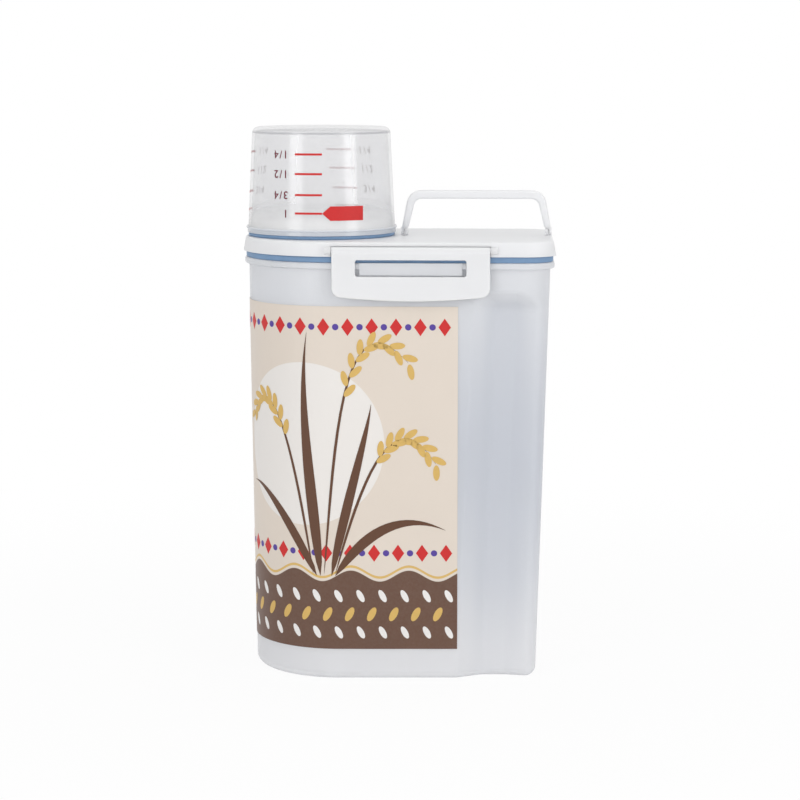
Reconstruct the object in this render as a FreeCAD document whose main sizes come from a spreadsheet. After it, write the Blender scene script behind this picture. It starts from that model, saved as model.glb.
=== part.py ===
import FreeCAD, Part
import math
import os
import Sketcher

# Rice storage bin: a drafted container with a grip recess on both broad sides, a lid held by two window
# latches, a pouring collar closed by an upturned measuring cup, a bail handle, two seals and a wrap label.
# Millimetres. +X points to the square rear end, -Y to the front side, +Z up, origin under the middle.

DIMENSIONS = {
    # Container outline where it stands and where the rim flange starts
    "foot_front_centre": -31.6,
    "foot_front_radius": 47.0,
    "foot_rear": 75.2,
    "foot_rear_half": 43.2,
    "mouth_front_centre": -31.4,
    "mouth_front_radius": 50.0,
    "mouth_rear": 81.4,
    "mouth_rear_half": 50.0,
    "corner_radius": 14.0,
    "wall": 1.8,
    "base_thickness": 2.2,
    "base_rounding": 4.4,
    "floor_rounding": 2.4,
    # Rim flange and the catch under it
    "flange_bottom": 221.4,
    "flange_top": 224.9,
    "flange_overhang": 2.2,
    "flange_rounding": 1.1,
    "catch_bottom": 218.5,
    "catch_half_width": 26.9,
    "catch_face": 52.75,
    # Grip recess: floor line at the foot and at its top, slope of its front flank
    "grip_level": -4.0,
    "grip_top": 200.9,
    "grip_close": 209.9,
    "grip_close_step": 7.0,
    "grip_run": 40.0,
    "grip_slope": 0.54,
    "grip_foot_start": 46.8,
    "grip_foot_floor": 36.8,
    "grip_foot_middle": 58.0,
    "grip_foot_middle_floor": 36.2,
    "grip_top_start": 52.0,
    "grip_top_floor": 43.4,
    "grip_top_middle": 64.0,
    "grip_top_middle_floor": 42.8,
    "grip_rear": 90.0,
    "grip_rear_flare": 6.0,
    "grip_outside": 70.0,
    "grip_inner_rounding": 8.0,
    "grip_lip_rounding": 4.5,
    # Lid
    "lid_bottom": 228.2,
    "lid_top": 235.9,
    "lid_overhang": 3.05,
    "lid_top_overhang": 1.6,
    "lid_edge_rounding": 1.3,
    "lid_plate": 2.2,
    "plug_bottom": 218.7,
    "plug_clearance": 0.4,
    "plug_wall": 1.7,
    # Pouring collar, its seal and the cup, all on one upright axis
    "spout_x": -42.0,
    "collar_radius": 37.6,
    "collar_bore": 35.4,
    "collar_top": 244.9,
    "collar_rounding": 0.8,
    "spout_seal_radius": 39.7,
    "spout_seal_height": 1.85,
    "spout_seal_rounding": 0.8,
    "seat_gap": 0.1,
    "cup_lip_radius": 40.2,
    "cup_lip_height": 2.0,
    "cup_mouth_radius": 39.85,
    "cup_end_radius": 37.2,
    "cup_top": 294.4,
    "cup_wall": 1.4,
    "cup_base": 2.0,
    "cup_rounding": 3.4,
    "cup_inner_rounding": 2.0,
    # Seal between the lid and the rim flange
    "lid_seal_overhang": 1.5,
    "lid_seal_gap": 0.05,
    "lid_seal_rounding": 0.7,
    # Latches and their pivots on the lid's broad edges
    "latch_x": 8.25,
    "latch_width": 82.9,
    "latch_pivot_y": 52.7,
    "latch_pivot_z": 231.5,
    "latch_barrel_radius": 1.85,
    "latch_pin_radius": 1.2,
    "latch_pin_reach": 2.6,
    "latch_face": 55.3,
    "latch_back": 53.0,
    "latch_shoulder": 230.1,
    "latch_bottom": 205.1,
    "latch_corner_bottom": 207.5,
    "latch_corner_rounding": 5.0,
    "latch_edge_rounding": 0.7,
    "window_half_width": 29.05,
    "window_bottom": 218.0,
    "window_top": 226.6,
    "window_rounding": 1.2,
    "notch_back": 50.5,
    "notch_top": 233.7,
    "notch_side_gap": 0.4,
    "ear_length": 3.4,
    "ear_radius": 2.0,
    "pivot_clearance": 0.05,
    # Bail handle and its pivots on the lid
    "handle_x": 42.0,
    "handle_half_width": 40.7,
    "handle_top_half_width": 36.5,
    "handle_leg": 3.5,
    "handle_bar": 4.5,
    "handle_top": 260.2,
    "handle_depth": 8.0,
    "handle_foot_radius": 2.05,
    "handle_taper_top": 251.4,
    "handle_cheek": 1.5,
    "handle_relief_radius": 2.95,
    "handle_outer_rounding": 8.0,
    "handle_inner_rounding": 4.5,
    "handle_edge_rounding": 1.3,
    "handle_pivot_z": 238.3,
    "handle_pin_radius": 0.9,
    "handle_side_gap": 0.35,
    "handle_ear_radius": 2.6,
    # Label, a sheet just off the container wall
    "label_bottom": 16.9,
    "label_top": 201.9,
    "label_end": 33.0,
    "label_gap": 0.05,
    "label_thickness": 0.25,
}

doc = FreeCAD.newDocument("rice_storage_bin")
sheet = doc.addObject("Spreadsheet::Sheet", "Dims")
for row, (alias, size) in enumerate(DIMENSIONS.items(), start=1):
    sheet.set(f"A{row}", alias)
    sheet.set(f"B{row}", str(size))
    sheet.setAlias(f"B{row}", alias)
working = doc.addObject("Spreadsheet::Sheet", "Working")
doc.recompute()


def value(expression):
    """Number that an expression on the sheet gives, worked out in a cell of the working sheet."""
    working.set("A1", f"={expression}")
    working.recompute()
    return float(working.get("A1"))


def new_body(label):
    body = doc.addObject("PartDesign::Body", label)
    body.Label = label
    return body


def origin_feature(body, role):
    for feature in body.Origin.OriginFeatures:
        if feature.Role == role:
            return feature
    raise ValueError(role)


def new_sketch(body, name, role="XY_Plane", level=None):
    """Sketch on one of the body's own planes, lifted along the plane's normal to a level."""
    sketch = body.newObject("Sketcher::SketchObject", name)
    sketch.AttachmentSupport = (origin_feature(body, role), "")
    sketch.MapMode = "FlatFace"
    if level is not None:
        sketch.setExpression("AttachmentOffset.Base.z", level)
    return sketch


def bind(sketch, constraint, expression):
    """Add a dimension to a sketch and tie it to the sheet."""
    index = sketch.addConstraint(constraint)
    name = f"size_{index}"
    sketch.renameConstraint(index, name)
    sketch.setExpression(f"Constraints.{name}", expression)


def pin_point(sketch, geometry, point, across, along):
    """Hold a point of a sketch at two coordinates taken from the sheet."""
    bind(sketch, Sketcher.Constraint("DistanceX", -1, 1, geometry, point, value(across)), across)
    bind(sketch, Sketcher.Constraint("DistanceY", -1, 1, geometry, point, value(along)), along)


def polygon(sketch, corners):
    """Closed outline of straight edges through corners given as pairs of expressions."""
    points = [FreeCAD.Vector(value(across), value(along), 0) for across, along in corners]
    first = sketch.GeometryCount
    for start, end in zip(points, points[1:] + points[:1]):
        sketch.addGeometry(Part.LineSegment(start, end))
    count = len(points)
    for step in range(count):
        following = first + (step + 1) % count
        sketch.addConstraint(Sketcher.Constraint("Coincident", first + step, 2, following, 1))
    for step, (across, along) in enumerate(corners):
        pin_point(sketch, first + step, 1, across, along)


def rectangle(sketch, low, high):
    polygon(sketch, [low, (high[0], low[1]), high, (low[0], high[1])])


def circle(sketch, across, along, radius):
    centre = FreeCAD.Vector(value(across), value(along), 0)
    index = sketch.addGeometry(Part.Circle(centre, FreeCAD.Vector(0, 0, 1), value(radius)))
    bind(sketch, Sketcher.Constraint("Radius", index, value(radius)), radius)
    if value(across) == 0 and value(along) == 0:
        sketch.addConstraint(Sketcher.Constraint("Coincident", index, 3, -1, 1))
    else:
        pin_point(sketch, index, 3, across, along)


def drafted(size, level):
    """Expression for a container size at a height, on the straight draft from foot to mouth."""
    foot = f"Dims.foot_{size}"
    mouth = f"Dims.mouth_{size}"
    return f"({foot} + ({mouth} - {foot}) * ({level}) / Dims.flange_bottom)"


def bin_outline(sketch, level, offset):
    """Plan of the container wall at a height, moved outwards by an offset: a round front end, two sides
    that touch it tangentially, and a flat rear end with rounded corners."""
    centre = drafted("front_centre", level)
    radius = f"{drafted('front_radius', level)} + ({offset})"
    rear = f"{drafted('rear', level)} + ({offset})"
    half_flat = f"{drafted('rear_half', level)} - Dims.corner_radius"
    corner = f"Dims.corner_radius + ({offset})"

    front_x = value(centre)
    front_r = value(radius)
    rear_x = value(rear)
    corner_r = value(corner)
    corner_x = rear_x - corner_r
    corner_y = value(half_flat)
    reach = math.hypot(corner_x - front_x, corner_y)
    tilt = math.asin((front_r - corner_r) / reach) - math.atan2(corner_y, corner_x - front_x)
    normal = FreeCAD.Vector(0, 0, 1)
    upper = math.pi / 2 - tilt
    lower = 3 * math.pi / 2 + tilt

    def on_arc(x, y, r, angle):
        return FreeCAD.Vector(x + r * math.cos(angle), y + r * math.sin(angle), 0)

    def arc(x, y, r, start, end):
        return Part.ArcOfCircle(Part.Circle(FreeCAD.Vector(x, y, 0), normal, r), start, end)

    edges = [
        arc(front_x, 0, front_r, upper, lower),
        Part.LineSegment(on_arc(front_x, 0, front_r, lower), on_arc(corner_x, -corner_y, corner_r, lower)),
        arc(corner_x, -corner_y, corner_r, lower, 2 * math.pi),
        Part.LineSegment(FreeCAD.Vector(rear_x, -corner_y, 0), FreeCAD.Vector(rear_x, corner_y, 0)),
        arc(corner_x, corner_y, corner_r, 0, upper),
        Part.LineSegment(on_arc(corner_x, corner_y, corner_r, upper), on_arc(front_x, 0, front_r, upper)),
    ]
    first = sketch.GeometryCount
    front, side, low_corner, rear_edge, high_corner, far_side = range(first, first + len(edges))
    sketch.addGeometry(edges)
    chain = [front, side, low_corner, rear_edge, high_corner, far_side, front]
    for edge, following in zip(chain, chain[1:]):
        sketch.addConstraint(Sketcher.Constraint("Tangent", edge, 2, following, 1))
    sketch.addConstraint(Sketcher.Constraint("PointOnObject", front, 3, -1))
    sketch.addConstraint(Sketcher.Constraint("Equal", low_corner, high_corner))
    sketch.addConstraint(Sketcher.Constraint("Symmetric", rear_edge, 1, rear_edge, 2, -1))
    bind(sketch, Sketcher.Constraint("DistanceX", -1, 1, front, 3, front_x), centre)
    bind(sketch, Sketcher.Constraint("Radius", front, front_r), radius)
    bind(sketch, Sketcher.Constraint("Radius", low_corner, corner_r), corner)
    bind(sketch, Sketcher.Constraint("DistanceX", -1, 1, rear_edge, 1, rear_x), rear)
    flat = Sketcher.Constraint("DistanceY", rear_edge, 1, rear_edge, 2, 2 * corner_y)
    bind(sketch, flat, f"2 * ({half_flat})")


def finish(feature, before=None, grows=True):
    """Recompute, and stop if the feature failed or didn't change the volume the way it should."""
    doc.recompute()
    if "Invalid" in feature.State or "Error" in feature.State or not feature.Shape.isValid():
        raise RuntimeError(f"{feature.Name} failed: {feature.State}")
    if before is not None and (feature.Shape.Volume > before) != grows:
        raise RuntimeError(f"{feature.Name} points the wrong way")
    return feature


def volume_of(body):
    return body.Shape.Volume if body.Tip else 0.0


def loft(body, name, sections, cut=False):
    before = volume_of(body)
    kind = "PartDesign::SubtractiveLoft" if cut else "PartDesign::AdditiveLoft"
    feature = body.newObject(kind, name)
    feature.Profile = sections[0]
    feature.Sections = sections[1:]
    feature.Ruled = True
    return finish(feature, before, not cut)


def extrude(body, name, sketch, length, cut=False, side="One side", flip=False):
    before = volume_of(body)
    feature = body.newObject("PartDesign::Pocket" if cut else "PartDesign::Pad", name)
    feature.Profile = sketch
    feature.SideType = side
    feature.Reversed = flip
    feature.setExpression("Length", length)
    return finish(feature, before, not cut)


def mirror_features(body, name, originals, role="XZ_Plane"):
    feature = body.newObject("PartDesign::Mirrored", name)
    feature.Originals = originals
    feature.MirrorPlane = (origin_feature(body, role), [""])
    body.Tip = feature
    return finish(feature)


def round_edges(body, name, radius, wanted):
    """Fillet the edges of the body's last feature that a test picks."""
    base = body.Tip
    names = [f"Edge{number}" for number, edge in enumerate(base.Shape.Edges, start=1) if wanted(edge)]
    if not names:
        raise RuntimeError(f"{name} finds no edge")
    feature = body.newObject("PartDesign::Fillet", name)
    feature.Base = (base, names)
    feature.setExpression("Radius", radius)
    return finish(feature)


def middle(edge):
    first, last = edge.ParameterRange
    return edge.valueAt((first + last) / 2)


def spans(edge, axis):
    """Low and high coordinate of an edge along an axis, X, Y or Z."""
    box = edge.optimalBoundingBox()
    return getattr(box, f"{axis}Min"), getattr(box, f"{axis}Max")


def sharp(shape, edge):
    """Whether the two faces at an edge meet at a clear angle."""
    point = middle(edge)
    normals = []
    for face in shape.ancestorsOfType(edge, Part.Face):
        normals.append(face.normalAt(*face.Surface.parameter(point)))
    return len(normals) == 2 and normals[0].getAngle(normals[1]) > math.radians(12)


def level_edge(edge, height, slack=0.01):
    low, high = spans(edge, "Z")
    return abs(low - height) < slack and abs(high - height) < slack


def grip_profile(sketch, name, grow, step="0"):
    """Plan of what the grip takes away on the front side: a sloped flank, a floor that eases outwards to the
    rear, and straight closing edges outside the container. A step moves the floor out along the flank;
    growing the plan leaves a wall behind it."""
    start = f"Dims.grip_{name}_start - ({step}) / Dims.grip_slope"
    floor = f"Dims.grip_{name}_floor + ({step}) - ({grow})"
    middle_floor = f"Dims.grip_{name}_middle_floor + ({step}) - ({grow})"
    corners = [
        (f"{start} - Dims.grip_run", f"-({floor} + Dims.grip_run * Dims.grip_slope)"),
        (start, f"-({floor})"),
        (f"Dims.grip_{name}_middle", f"-({middle_floor})"),
        ("Dims.grip_rear", f"-({middle_floor} + Dims.grip_rear_flare)"),
        ("Dims.grip_rear", "-Dims.grip_outside"),
    ]
    polygon(sketch, corners)


def bin_form(label, offset, floor, ceiling):
    """Solid of the container's outside, or of the space in it where the offset is minus the wall."""
    body = new_body(label)
    low = new_sketch(body, f"{label}_low", level=floor)
    bin_outline(low, floor, offset)
    high = new_sketch(body, f"{label}_high", level=ceiling)
    bin_outline(high, ceiling, offset)
    wall = loft(body, f"{label}_wall", [low, high]).Shape.Shells[0]

    grow = f"-({offset})"
    grip_low = new_sketch(body, f"{label}_grip_low", level="Dims.grip_level")
    grip_profile(grip_low, "foot", grow)
    grip_high = new_sketch(body, f"{label}_grip_high", level="Dims.grip_top")
    grip_profile(grip_high, "top", grow)
    grip_end = new_sketch(body, f"{label}_grip_end", level="Dims.grip_close")
    grip_profile(grip_end, "top", grow, "Dims.grip_close_step")
    grip = loft(body, f"{label}_grip", [grip_low, grip_high, grip_end], cut=True)
    mirror_features(body, f"{label}_grips", [grip])

    low_end = value(floor)
    high_end = value(ceiling)

    def creases(on_wall):
        shape = body.Tip.Shape

        def wanted(edge):
            point = middle(edge)
            if not low_end + 0.1 < point.z < high_end - 0.1:
                return False
            touches = wall.distToShape(Part.Vertex(point))[0] < 0.01
            return touches == on_wall and sharp(shape, edge)

        return wanted

    round_edges(body, f"{label}_grip_corners", f"Dims.grip_inner_rounding + {grow}", creases(False))
    round_edges(body, f"{label}_grip_lips", f"Dims.grip_lip_rounding - {grow}", creases(True))
    return body


def outer_loop(levels, offset):
    """Test for the level edges that bound the mouth outline moved out by an offset."""
    heights = [value(level) for level in levels]
    side = value(f"Dims.mouth_rear_half + ({offset})") - 0.1
    rear = value(f"Dims.mouth_rear + ({offset})") - 0.1

    def wanted(edge):
        low, high = spans(edge, "Y")
        outside = low < -side or high > side or spans(edge, "X")[0] > rear
        return outside and any(level_edge(edge, height) for height in heights)

    return wanted


def build_container():
    """Container shell: the outer form, its rim flange and catches, less the space inside."""
    body = bin_form("container", "0", "0", "Dims.flange_bottom")
    round_edges(body, "base_rounding", "Dims.base_rounding", lambda edge: level_edge(edge, 0))

    flange = new_sketch(body, "flange_plan", level="Dims.flange_bottom")
    bin_outline(flange, "Dims.flange_bottom", "Dims.flange_overhang")
    extrude(body, "flange", flange, "Dims.flange_top - Dims.flange_bottom")
    flange_levels = ("Dims.flange_bottom", "Dims.flange_top")
    rim = outer_loop(flange_levels, "Dims.flange_overhang")
    round_edges(body, "flange_rounding", "Dims.flange_rounding", rim)

    catch = new_sketch(body, "catch_front_view", "XZ_Plane")
    rectangle(
        catch,
        ("Dims.latch_x - Dims.catch_half_width", "Dims.catch_bottom"),
        ("Dims.latch_x + Dims.catch_half_width", "Dims.flange_top"),
    )
    extrude(body, "catches", catch, "2 * Dims.catch_face", side="Symmetric")

    space = bin_form("bin_space", "-Dims.wall", "Dims.base_thickness", "Dims.flange_top + Dims.wall")
    floor = value("Dims.base_thickness")
    round_edges(space, "floor_rounding", "Dims.floor_rounding", lambda edge: level_edge(edge, floor))
    shell = body.newObject("PartDesign::Boolean", "shell")
    shell.Type = "Cut"
    shell.setObjects([space])
    finish(shell)
    return body


def build_lid():
    """Lid: a tapering rim over the flange, a plug ring in the mouth, the pouring collar, a bay for each latch
    with pivot ears at its ends, and two small ears for the handle."""
    body = new_body("lid")
    rim = new_sketch(body, "rim_plan", level="Dims.lid_bottom")
    bin_outline(rim, "Dims.flange_bottom", "Dims.lid_overhang")
    solid = extrude(body, "lid_rim", rim, "Dims.lid_top - Dims.lid_bottom")
    draft = "atan((Dims.lid_top_overhang - Dims.lid_overhang) / (Dims.lid_top - Dims.lid_bottom))"
    solid.setExpression("TaperAngle", draft)
    finish(solid)
    top = value("Dims.lid_top")
    round_edges(body, "lid_edge", "Dims.lid_edge_rounding", lambda edge: level_edge(edge, top))

    plug = new_sketch(body, "plug_plan", level="Dims.plug_bottom")
    bin_outline(plug, "Dims.flange_bottom", "-Dims.wall - Dims.plug_clearance")
    extrude(body, "plug", plug, "Dims.lid_bottom - Dims.plug_bottom")
    hollow = new_sketch(body, "hollow_plan", level="Dims.plug_bottom")
    bin_outline(hollow, "Dims.flange_bottom", "-Dims.wall - Dims.plug_clearance - Dims.plug_wall")
    extrude(body, "hollow", hollow, "Dims.lid_top - Dims.lid_plate - Dims.plug_bottom", cut=True, flip=True)

    collar = new_sketch(body, "collar_plan", level="Dims.lid_top - Dims.lid_plate")
    circle(collar, "Dims.spout_x", "0", "Dims.collar_radius")
    extrude(body, "collar", collar, "Dims.collar_top - Dims.lid_top + Dims.lid_plate")
    collar_top = value("Dims.collar_top")
    spout = new_sketch(body, "spout_plan", level="Dims.collar_top")
    circle(spout, "Dims.spout_x", "0", "Dims.collar_bore")
    extrude(body, "spout", spout, "Dims.collar_top - Dims.lid_bottom", cut=True)
    round_edges(body, "collar_edge", "Dims.collar_rounding", lambda edge: level_edge(edge, collar_top))

    bay = new_sketch(body, "bay_front_view", "XZ_Plane", "Dims.notch_back")
    half_bay = "(Dims.latch_width / 2 + Dims.notch_side_gap)"
    rectangle(
        bay,
        (f"Dims.latch_x - {half_bay}", "Dims.plug_bottom"),
        (f"Dims.latch_x + {half_bay}", "Dims.notch_top"),
    )
    bays = extrude(body, "bay", bay, "Dims.latch_face - Dims.notch_back", cut=True, flip=True)
    mirror_features(body, "bays", [bays])

    ears = []
    for end, sign in (("front", "-"), ("rear", "+")):
        face = f"Dims.latch_x {sign} {half_bay}"
        ear = new_sketch(body, f"{end}_ear_end_view", "YZ_Plane", face)
        circle(ear, "-Dims.latch_pivot_y", "Dims.latch_pivot_z", "Dims.ear_radius")
        ears.append(extrude(body, f"{end}_ear", ear, "Dims.ear_length", flip=sign == "-"))
    mirror_features(body, "ears", ears)
    bores = new_sketch(body, "bore_end_view", "YZ_Plane", "Dims.latch_x")
    bore_radius = "Dims.latch_pin_radius + Dims.pivot_clearance"
    for side in ("-", ""):
        circle(bores, f"{side}Dims.latch_pivot_y", "Dims.latch_pivot_z", bore_radius)
    bore_length = "Dims.latch_width + 2 * (Dims.latch_pin_reach + Dims.notch_side_gap)"
    extrude(body, "latch_bores", bores, bore_length, cut=True, side="Symmetric")

    lap = "(Dims.handle_half_width - Dims.handle_cheek - Dims.handle_side_gap)"
    for end, sign in (("near", "-"), ("far", "+")):
        ear = new_sketch(body, f"{end}_handle_ear_view", "YZ_Plane", f"Dims.handle_x {sign} {lap}")
        circle(ear, "0", "Dims.handle_pivot_z", "Dims.handle_ear_radius")
        thickness = "Dims.handle_leg - Dims.handle_cheek - Dims.handle_side_gap"
        extrude(body, f"{end}_handle_ear", ear, thickness, flip=sign == "+")
    bore = new_sketch(body, "handle_bore_view", "YZ_Plane", "Dims.handle_x")
    circle(bore, "0", "Dims.handle_pivot_z", "Dims.handle_pin_radius + Dims.pivot_clearance")
    extrude(body, "handle_bores", bore, f"3 * {lap}", cut=True, side="Symmetric")
    return body


def build_lid_gasket():
    """Seal ring between the lid's rim and the flange, around the plug."""
    body = new_body("lid_gasket")
    base = "Dims.flange_top + Dims.lid_seal_gap"
    outer = new_sketch(body, "lid_gasket_plan", level=base)
    bin_outline(outer, "Dims.flange_bottom", "Dims.lid_seal_overhang")
    bin_outline(outer, "Dims.flange_bottom", "-Dims.wall - Dims.plug_clearance / 2")
    extrude(body, "lid_gasket_ring", outer, f"Dims.lid_bottom - ({base})")
    rim = outer_loop((base, "Dims.lid_bottom"), "Dims.lid_seal_overhang")
    round_edges(body, "lid_gasket_edges", "Dims.lid_seal_rounding", rim)
    return body


def turned(label, corners):
    """Body of revolution about the spout's upright axis from a closed profile of radius and height pairs."""
    body = new_body(label)
    profile = new_sketch(body, f"{label}_profile", "XZ_Plane")
    profile.setExpression("AttachmentOffset.Base.x", "Dims.spout_x")
    polygon(profile, corners)
    feature = body.newObject("PartDesign::Revolution", f"{label}_turning")
    feature.Profile = profile
    feature.ReferenceAxis = (profile, ["V_Axis"])
    feature.Angle = 360
    finish(feature)
    return body


def build_spout_gasket():
    """Seal ring around the foot of the collar, under the cup's rim."""
    inner = "Dims.collar_radius + Dims.seat_gap"
    outer = "Dims.spout_seal_radius"
    seal_top = "Dims.lid_top + Dims.spout_seal_height"
    corners = [(inner, "Dims.lid_top"), (outer, "Dims.lid_top"), (outer, seal_top), (inner, seal_top)]
    body = turned("spout_gasket", corners)
    reach = value(outer) - 0.1
    rounding = "Dims.spout_seal_rounding"
    round_edges(body, "spout_gasket_edges", rounding, lambda edge: spans(edge, "Y")[1] > reach)
    return body


def build_cup():
    """Measuring cup standing on its mouth over the collar: a lipped, tapering wall under a flat end."""
    rim = "Dims.lid_top + Dims.spout_seal_height + Dims.seat_gap"
    shoulder = f"{rim} + Dims.cup_lip_height"
    inner_top = "Dims.cup_top - Dims.cup_base"
    corners = [
        ("Dims.cup_mouth_radius - Dims.cup_wall", rim),
        ("Dims.cup_lip_radius", rim),
        ("Dims.cup_lip_radius", shoulder),
        ("Dims.cup_mouth_radius", f"{shoulder} + Dims.cup_lip_radius - Dims.cup_mouth_radius"),
        ("Dims.cup_end_radius", "Dims.cup_top"),
        ("0", "Dims.cup_top"),
        ("0", inner_top),
        ("Dims.cup_end_radius - Dims.cup_wall", inner_top),
    ]
    body = turned("measuring_cup", corners)
    top = value("Dims.cup_top")
    ceiling = value(inner_top)
    round_edges(body, "cup_corner", "Dims.cup_rounding", lambda edge: level_edge(edge, top))
    round_edges(body, "cup_inner_corner", "Dims.cup_inner_rounding", lambda edge: level_edge(edge, ceiling))
    return body


def latch_plate(sketch):
    """Front view of a latch: straight top and ends, and a bottom edge that bows down in the middle."""
    half = value("Dims.latch_width / 2")
    centre = value("Dims.latch_x")
    top = value("Dims.latch_shoulder")
    low = value("Dims.latch_corner_bottom")
    bow = value("Dims.latch_bottom")
    right_top = FreeCAD.Vector(centre + half, top, 0)
    left_top = FreeCAD.Vector(centre - half, top, 0)
    left_low = FreeCAD.Vector(centre - half, low, 0)
    right_low = FreeCAD.Vector(centre + half, low, 0)
    sketch.addGeometry(Part.LineSegment(right_top, left_top))
    sketch.addGeometry(Part.LineSegment(left_top, left_low))
    sketch.addGeometry(Part.Arc(left_low, FreeCAD.Vector(centre, bow, 0), right_low))
    sketch.addGeometry(Part.LineSegment(right_low, right_top))
    for edge, following in ((0, 1), (3, 0)):
        sketch.addConstraint(Sketcher.Constraint("Coincident", edge, 2, following, 1))
    sketch.addConstraint(Sketcher.Constraint("Coincident", 1, 2, 2, 1))
    sketch.addConstraint(Sketcher.Constraint("Coincident", 2, 2, 3, 1))
    pin_point(sketch, 0, 1, "Dims.latch_x + Dims.latch_width / 2", "Dims.latch_shoulder")
    pin_point(sketch, 0, 2, "Dims.latch_x - Dims.latch_width / 2", "Dims.latch_shoulder")
    pin_point(sketch, 1, 2, "Dims.latch_x - Dims.latch_width / 2", "Dims.latch_corner_bottom")
    pin_point(sketch, 3, 1, "Dims.latch_x + Dims.latch_width / 2", "Dims.latch_corner_bottom")
    sag = "(Dims.latch_corner_bottom - Dims.latch_bottom)"
    radius = f"(Dims.latch_width * Dims.latch_width / 4 + {sag} * {sag}) / (2 * {sag})"
    bind(sketch, Sketcher.Constraint("Radius", 2, value(radius)), radius)


def build_latch(label, rear):
    """Window latch: a thin plate that hangs from a barrel on two pins, with a window for the catch."""
    body = new_body(label)
    sign = "" if rear else "-"
    plate = new_sketch(body, f"{label}_front_view", "XZ_Plane", f"{'-' if rear else ''}Dims.latch_back")
    latch_plate(plate)
    extrude(body, f"{label}_plate", plate, "Dims.latch_face - Dims.latch_back", flip=rear)

    lean = f"Dims.latch_barrel_radius * {math.sqrt(0.5):.4f}"
    shoulder = new_sketch(body, f"{label}_shoulder_view", "YZ_Plane", "Dims.latch_x")
    corners = [
        ("Dims.latch_back", "Dims.latch_shoulder - Dims.latch_edge_rounding"),
        ("Dims.latch_face", "Dims.latch_shoulder - Dims.latch_edge_rounding"),
        ("Dims.latch_face", "Dims.latch_shoulder"),
        (f"Dims.latch_pivot_y + {lean}", f"Dims.latch_pivot_z + {lean}"),
        ("Dims.latch_pivot_y", "Dims.latch_pivot_z"),
    ]
    polygon(shoulder, [(f"{sign}({across})", along) for across, along in corners])
    extrude(body, f"{label}_shoulder", shoulder, "Dims.latch_width", side="Symmetric")
    barrel = new_sketch(body, f"{label}_barrel_view", "YZ_Plane", "Dims.latch_x")
    circle(barrel, f"{sign}Dims.latch_pivot_y", "Dims.latch_pivot_z", "Dims.latch_barrel_radius")
    extrude(body, f"{label}_barrel", barrel, "Dims.latch_width", side="Symmetric")

    foot = value("Dims.latch_corner_bottom")
    ends = (value("Dims.latch_x - Dims.latch_width / 2"), value("Dims.latch_x + Dims.latch_width / 2"))

    def foot_corner(edge):
        point = middle(edge)
        return level_edge(edge, foot) and min(abs(point.x - end) for end in ends) < 0.01

    round_edges(body, f"{label}_corners", "Dims.latch_corner_rounding", foot_corner)

    window = new_sketch(body, f"{label}_window_view", "XZ_Plane", f"{'-' if rear else ''}Dims.latch_back")
    rectangle(
        window,
        ("Dims.latch_x - Dims.window_half_width", "Dims.window_bottom"),
        ("Dims.latch_x + Dims.window_half_width", "Dims.window_top"),
    )
    extrude(body, f"{label}_window", window, "2 * Dims.latch_face", cut=True, side="Symmetric")
    sills = (value("Dims.window_bottom"), value("Dims.window_top"))
    thick = value("Dims.latch_face - Dims.latch_back")

    def window_corner(edge):
        deep = spans(edge, "Y")[1] - spans(edge, "Y")[0]
        return any(level_edge(edge, sill) for sill in sills) and abs(deep - thick) < 0.01

    round_edges(body, f"{label}_window_corners", "Dims.window_rounding", window_corner)
    face = value("Dims.latch_face")

    def face_edge(edge):
        low, high = spans(edge, "Y")
        return min(abs(low), abs(high)) > face - 0.01

    round_edges(body, f"{label}_edges", "Dims.latch_edge_rounding", face_edge)
    pins = new_sketch(body, f"{label}_pin_view", "YZ_Plane", "Dims.latch_x")
    circle(pins, f"{sign}Dims.latch_pivot_y", "Dims.latch_pivot_z", "Dims.latch_pin_radius")
    extrude(body, f"{label}_pins", pins, "Dims.latch_width + 2 * Dims.latch_pin_reach", side="Symmetric")
    return body


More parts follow.
